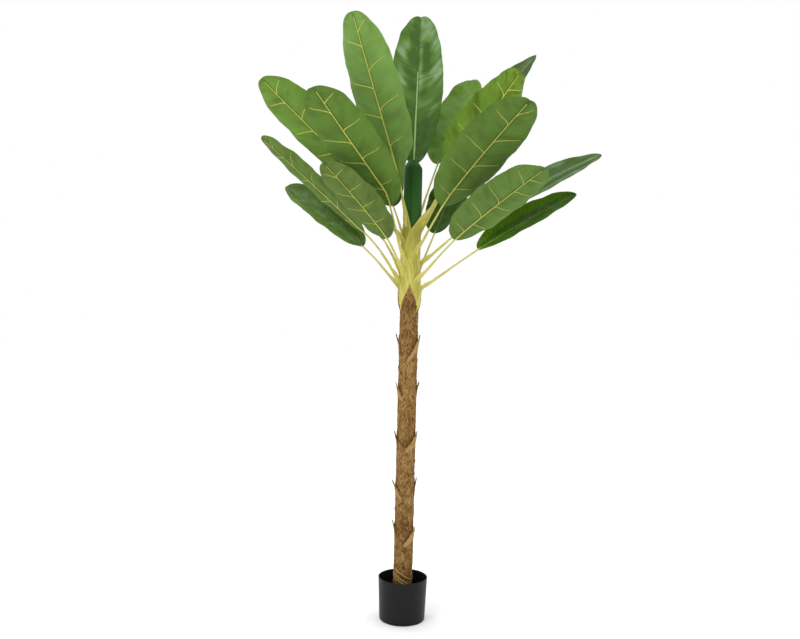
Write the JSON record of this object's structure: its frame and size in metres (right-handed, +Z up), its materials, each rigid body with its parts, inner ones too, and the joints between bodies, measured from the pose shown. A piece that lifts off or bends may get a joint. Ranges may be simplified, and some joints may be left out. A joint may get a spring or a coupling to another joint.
{
  "type": "artificial potted banana plant",
  "caption": "Tall artificial banana plant: straight bark-wrapped trunk in a plain round black pot, with a spreading crown of large stalked leaves and a rolled leaf at its centre.",
  "frame": {"origin": "centre of the pot's flat underside, on the floor", "axes": "+Z up along the trunk; the plant's front looks along -Y, and +X is to the right of someone who looks at the front"},
  "size_m": [1.3696, 1.1567, 2.5371],
  "materials": {
    "pot_plastic": "black moulded plastic, satin",
    "filling": "dark poured filling, rough",
    "bark": "brown fibrous bark wrap, matt",
    "sheath": "yellow-green leaf sheaths, satin",
    "stalk": "yellow-green plastic over wire",
    "rolled_leaf": "dark green coated cloth, rolled",
    "leaf": "green coated cloth, darker and glossier above, paler below with yellow ribs"
  },
  "bodies": {
    "root": {"crown_shaft": "sheath", "leaf_01_blade": "leaf", "leaf_01_stalk": "stalk", "leaf_02_blade": "leaf", "leaf_02_stalk": "stalk", "leaf_03_blade": "leaf", "leaf_03_stalk": "stalk", "leaf_04_blade": "leaf", "leaf_04_stalk": "stalk", "leaf_05_blade": "leaf", "leaf_05_stalk": "stalk", "leaf_06_blade": "leaf", "leaf_06_stalk": "stalk", "leaf_07_blade": "leaf", "leaf_07_stalk": "stalk", "leaf_08_blade": "leaf", "leaf_08_stalk": "stalk", "leaf_09_blade": "leaf", "leaf_09_stalk": "stalk", "leaf_10_blade": "leaf", "leaf_10_stalk": "stalk", "leaf_11_blade": "leaf", "leaf_11_stalk": "stalk", "leaf_12_blade": "leaf", "leaf_12_stalk": "stalk", "leaf_13_blade": "leaf", "leaf_13_stalk": "stalk", "leaf_14_blade": "leaf", "leaf_14_stalk": "stalk", "leaf_15_blade": "leaf", "leaf_15_stalk": "stalk", "leaf_16_blade": "leaf", "leaf_16_stalk": "stalk", "leaf_17_blade": "leaf", "leaf_17_stalk": "stalk", "leaf_18_blade": "leaf", "leaf_18_stalk": "stalk", "pot": "pot_plastic", "pot_filling": "filling", "rolled_leaf": "rolled_leaf", "trunk": "bark"}
  },
  "joints": []
}
